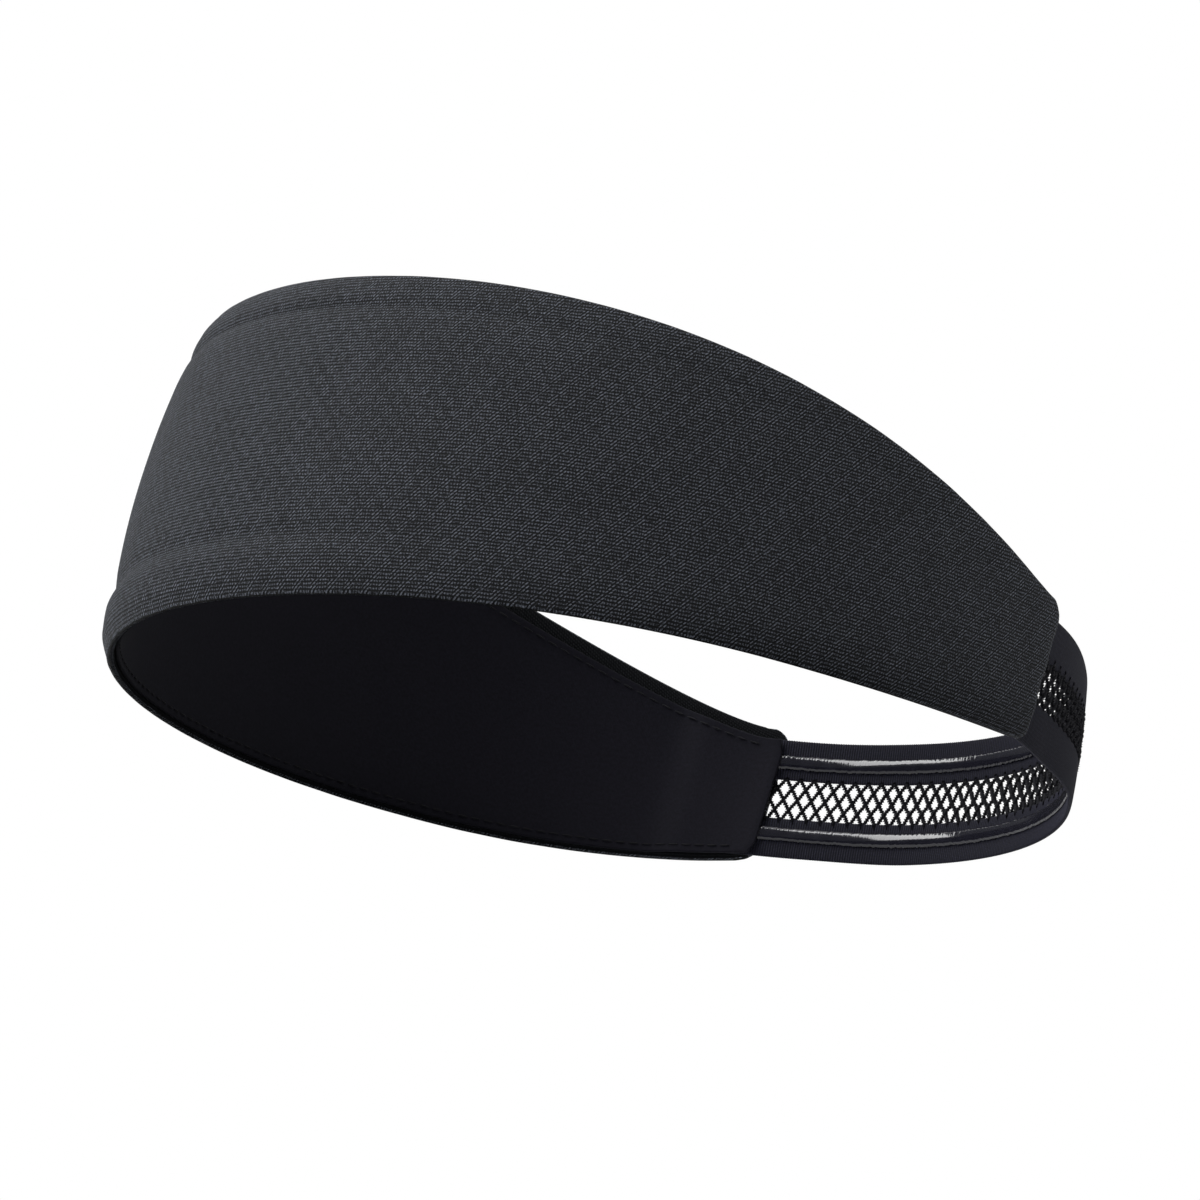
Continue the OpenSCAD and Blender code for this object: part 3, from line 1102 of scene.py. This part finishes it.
class HEADBAND_OT_stitching(PieceOperator, bpy.types.Operator):
    """Makes the hem seams and the end seams of single stitches"""

    bl_idname = "headband.stitching"
    bl_label = "Stitching"

    segments = 6
    rings = 6
    yarn_pitch = 0.3 * MM
    # The hem seams stop short of the panel's ends, and their thread lies a little deeper and looks thicker
    hem_end, hem_bed, hem_fullness = 5 * MM, 0.15, 1.2
    end_inset = 4 * MM

    def stitch(self, bm, start, end, inward, thick):
        """One stitch between two points, with its crown towards inward."""
        ball = bmesh.ops.create_uvsphere(bm, u_segments=self.segments, v_segments=self.rings, radius=0.5)
        forward = end - start
        side = forward.cross(inward).normalized() * thick
        crown = side.cross(forward).normalized() * thick
        matrix = Matrix((side, crown, forward)).transposed().to_4x4()
        matrix.translation = (start + end) / 2
        bmesh.ops.transform(bm, matrix=matrix, verts=ball["verts"])

    def finish(self, bm, node, scene):
        """Turns the stitches of one seam into its piece."""
        bmesh.ops.recalc_face_normals(bm, faces=bm.faces)
        flat = bm.loops.layers.uv.new(CLOTH_MAP)
        for face in bm.faces:
            for loop in face.loops:
                loop[flat].uv = (loop.vert.co.x + loop.vert.co.y, loop.vert.co.z)
        yarn = cord_yarn("sewing_thread", scene.headband_finishes.thread, self.yarn_pitch)
        piece = finish_mesh(bm, node + "_thread", yarn)
        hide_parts(node)
        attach(piece, "panel")

    def hem_seam(self, scene, wall, node, rise_at):
        """A row of stitches along the lining."""
        cloth = scene.headband_cloth
        to_end = wall.arc(0, wall.lower_wrap)
        half = to_end - self.hem_end
        count = int(2 * half / cloth.stitch_pitch)
        bm = bmesh.new()
        for k in range(count):
            ends = []
            for end in (0, cloth.stitch_length):
                along = -half + k * cloth.stitch_pitch + end
                u = along / to_end
                depth = wall.lining_depth(u) + cloth.lining_thick + cloth.thread_thick * self.hem_bed
                ends.append(wall.panel_point(u, rise_at(u), depth))
            inward = Vector((-ends[0].x, -ends[0].y, 0))
            self.stitch(bm, ends[0], ends[1], inward, self.hem_fullness * cloth.thread_thick)
        self.finish(bm, node, scene)

    def end_seam(self, scene, wall, node, side):
        """The stitches that hold one end of the elastic."""
        cloth, band = scene.headband_cloth, scene.headband_band
        angle = side * (wall.lower_wrap - self.end_inset / wall.arc_per_turn)
        count = int((band.width - 2 * cloth.seam_inset) / cloth.stitch_pitch)
        first = band.lift_side + (band.width - (count - 1) * cloth.stitch_pitch - cloth.stitch_length) / 2
        depth = wall.seam_depth + cloth.thread_thick / 2
        bm = bmesh.new()
        for k in range(count):
            z = first + k * cloth.stitch_pitch
            start, end = wall.point(angle, z, depth), wall.point(angle, z + cloth.stitch_length, depth)
            self.stitch(bm, start, end, Vector((-start.x, -start.y, 0)), cloth.thread_thick)
        self.finish(bm, node, scene)

    def build(self, scene, wall):
        cloth = scene.headband_cloth
        inset = cloth.seam_inset
        self.hem_seam(scene, wall, "top_hem_seam", lambda u: wall.height(u) - cloth.upper_reveal - inset)
        self.hem_seam(scene, wall, "bottom_hem_seam", lambda u: cloth.lower_reveal + inset)
        self.end_seam(scene, wall, "left_end_seam", 1)
        self.end_seam(scene, wall, "right_end_seam", -1)


class HEADBAND_OT_stage(bpy.types.Operator):
    """Makes the floor, the soft lights and the camera"""

    bl_idname = "headband.stage"
    bl_label = "Stage"
    bl_options = {"REGISTER", "UNDO"}

    azimuth = math.radians(68)
    elevation = math.radians(-17.95)
    roll = math.radians(8.2)
    distance = 1.4
    target = Vector((0, -0.0006, 0.045))
    aside = Vector((-0.00393, -0.01562))
    lens = 220
    light_target = Vector((0, 0, 0.03))
    # Each light's azimuth and elevation in degrees, its distance and size, and its power in watts
    lights = {
        "key_light": (-6, 42, 1.3, 0.9, 23),
        "top_light": (250, 80, 1.2, 1.7, 12),
        "fill_light": (155, 6, 1.6, 1.2, 7),
    }
    world_strength, glossy_share = 0.1, 0.05
    floor_reach, floor_gap = 6, 0.6 * MM

    def camera(self, scene):
        """A long lens that looks up at the band a little from below."""
        data = bpy.data.cameras.new("camera")
        data.lens = self.lens
        data.sensor_width = 36
        data.clip_end = 100
        back = Vector(
            (
                math.sin(self.azimuth) * math.cos(self.elevation),
                -math.cos(self.azimuth) * math.cos(self.elevation),
                math.sin(self.elevation),
            )
        )
        right = Vector((math.cos(self.azimuth), math.sin(self.azimuth), 0))
        right.rotate(Matrix.Rotation(self.roll, 3, back))
        up = back.cross(right)
        place = self.target + back * self.distance
        back = (place - self.target - right * self.aside.x - up * self.aside.y).normalized()
        right = (right - back * right.dot(back)).normalized()
        matrix = Matrix((right, back.cross(right), back)).transposed().to_4x4()
        matrix.translation = place
        camera = bpy.data.objects.new("camera", data)
        camera.matrix_world = matrix
        scene.collection.objects.link(camera)
        scene.camera = camera

    def light(self, scene, name, azimuth, elevation, distance, size, power):
        """A soft square light that faces the band."""
        data = bpy.data.lights.new(name, "AREA")
        data.shape = "SQUARE"
        data.size = size
        data.energy = power
        light = bpy.data.objects.new(name, data)
        a, e = math.radians(azimuth), math.radians(elevation)
        away = Vector((math.sin(a) * math.cos(e), -math.cos(a) * math.cos(e), math.sin(e)))
        light.location = self.light_target + away * distance
        light.rotation_euler = away.to_track_quat("Z", "Y").to_euler()
        scene.collection.objects.link(light)

    def world(self, scene):
        """A white surround that lights the band only softly."""
        world = bpy.data.worlds.new("studio")
        world.use_nodes = True
        scene.world = world
        nodes = Tree(world.node_tree)
        rays = nodes.add("ShaderNodeLightPath").outputs
        cool = {"Color": (0.93, 0.96, 1, 1), "Strength": self.world_strength}
        soft = nodes.add("ShaderNodeBackground", cool)
        white = nodes.add("ShaderNodeBackground", {"Color": (1, 1, 1, 1), "Strength": 1.0})
        glossy = nodes.math("MULTIPLY", rays["Is Glossy Ray"], self.glossy_share)
        seen = nodes.math("MAXIMUM", rays["Is Camera Ray"], glossy)
        mixed = nodes.add("ShaderNodeMixShader", {0: seen, 1: soft.outputs[0], 2: white.outputs[0]})
        nodes.add("ShaderNodeOutputWorld", {"Surface": mixed.outputs[0]})

    def floor(self, scene):
        """A pale floor under the rim that can be seen only from above."""
        bm = bmesh.new()
        bmesh.ops.create_grid(bm, x_segments=1, y_segments=1, size=self.floor_reach)
        bmesh.ops.translate(bm, verts=bm.verts, vec=(0, 0, CAD_LOW.z - self.floor_gap))
        material = bpy.data.materials.new("pale_floor")
        material.use_nodes = True
        nodes = Tree(material.node_tree)
        below = nodes.add("ShaderNodeNewGeometry").outputs["Backfacing"]
        pale = nodes.add("ShaderNodeBsdfPrincipled", {"Base Color": (0.86, 0.86, 0.86, 1), "Roughness": 0.9})
        clear = nodes.add("ShaderNodeBsdfTransparent")
        mixed = nodes.add("ShaderNodeMixShader", {0: below, 1: pale.outputs[0], 2: clear.outputs[0]})
        nodes.add("ShaderNodeOutputMaterial", {"Surface": mixed.outputs[0]})
        finish_mesh(bm, "floor", material, smooth_faces=False)

    def execute(self, context):
        scene = context.scene
        scene.view_settings.view_transform = "Standard"
        self.world(scene)
        self.floor(scene)
        for name, settings in self.lights.items():
            self.light(scene, name, *settings)
        self.camera(scene)
        return {"FINISHED"}


MAKERS = (
    HEADBAND_OT_stage,
    HEADBAND_OT_outer_panel,
    HEADBAND_OT_lining,
    HEADBAND_OT_ribbed_lanes,
    HEADBAND_OT_net,
    HEADBAND_OT_grips,
    HEADBAND_OT_stitching,
)
GROUPS = {
    "headband_panel": PanelSizes,
    "headband_cloth": ClothSizes,
    "headband_band": BandSizes,
    "headband_finishes": Finishes,
}


class HEADBAND_PT_sidebar(bpy.types.Panel):
    """Lists the headband's sizes, colours and pieces"""

    bl_idname = "HEADBAND_PT_sidebar"
    bl_label = "Headband"
    bl_space_type = "VIEW_3D"
    bl_region_type = "UI"
    bl_category = "Headband"

    def draw(self, context):
        for name, group in GROUPS.items():
            box = self.layout.box()
            box.label(text=group.__doc__)
            for field in group.__annotations__:
                box.prop(getattr(context.scene, name), field)
        for maker in MAKERS:
            self.layout.operator(maker.bl_idname)


def register():
    """Registers the sizes, the operators and the panel."""
    for name, group in GROUPS.items():
        bpy.utils.register_class(group)
        setattr(bpy.types.Scene, name, PointerProperty(type=group))
    for maker in MAKERS:
        bpy.utils.register_class(maker)
    bpy.utils.register_class(HEADBAND_PT_sidebar)


def unregister():
    """Takes away what register() added."""
    bpy.utils.unregister_class(HEADBAND_PT_sidebar)
    for maker in reversed(MAKERS):
        bpy.utils.unregister_class(maker)
    for name, group in reversed(GROUPS.items()):
        delattr(bpy.types.Scene, name)
        bpy.utils.unregister_class(group)


def main():
    """Builds the stage and every piece."""
    register()
    bpy.ops.headband.stage()
    bpy.ops.headband.outer_panel()
    bpy.ops.headband.lining()
    bpy.ops.headband.ribbed_lanes()
    bpy.ops.headband.net()
    bpy.ops.headband.grips()
    bpy.ops.headband.stitching()


if __name__ == "__main__":
    main()
